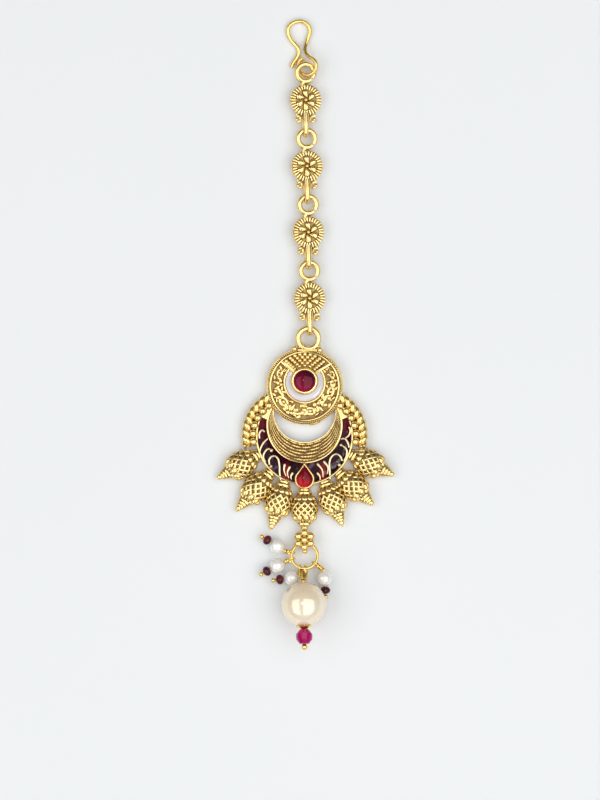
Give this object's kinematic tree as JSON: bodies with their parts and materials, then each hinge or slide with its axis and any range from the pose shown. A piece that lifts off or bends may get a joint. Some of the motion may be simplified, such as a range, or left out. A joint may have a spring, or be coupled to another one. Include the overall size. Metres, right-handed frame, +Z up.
{
  "type": "maang tikka (forehead and hair-parting jewel)",
  "caption": "Maang tikka: hook, cast flower-link chain, cast round-and-crescent pendant with enamel, red stones, spear drops and pearl drops on a wire ring, lying flat.",
  "frame": {"origin": "centre of the footprint, on the surface that the jewel lies on", "axes": "+Z up off the surface, out of the jewel's face; +Y along the jewel from the drops to the hook; +X to the right as seen from above"},
  "size_m": [0.0358, 0.1321, 0.0094],
  "materials": {
    "antique_gold": "cast brass with matte antique gold plating, dark in the recesses",
    "gold_wire": "gold-plated wire, satin",
    "ruby_stone": "polished deep red glass cabochon",
    "maroon_glass": "glossy maroon glass bead",
    "pink_glass": "faceted magenta glass bead",
    "white_enamel": "glossy white enamel",
    "dark_enamel": "glossy dark maroon and black enamel",
    "pearl": "imitation pearl, cream with a soft sheen"
  },
  "bodies": {
    "root": {"hook": "gold_wire", "flower_link_1": "antique_gold", "flower_link_2": "antique_gold", "flower_link_3": "antique_gold", "flower_link_4": "antique_gold", "pendant_frame": "antique_gold", "round_cabochon": "ruby_stone", "teardrop_cabochon": "ruby_stone", "white_enamel": "white_enamel", "dark_enamel_left": "dark_enamel", "dark_enamel_right": "dark_enamel", "drop_ring": "gold_wire", "small_pin_1": "gold_wire", "small_pin_2": "gold_wire", "small_pin_3": "gold_wire", "small_pin_4": "gold_wire", "small_pearl_1": "pearl", "small_pearl_2": "pearl", "small_pearl_3": "pearl", "small_pearl_4": "pearl", "seed_bead_1": "maroon_glass", "seed_bead_2": "maroon_glass", "seed_bead_3": "maroon_glass", "seed_bead_4": "maroon_glass", "large_pin": "gold_wire", "large_pearl": "pearl", "pearl_cap": "gold_wire", "faceted_bead": "pink_glass"}
  },
  "joints": []
}
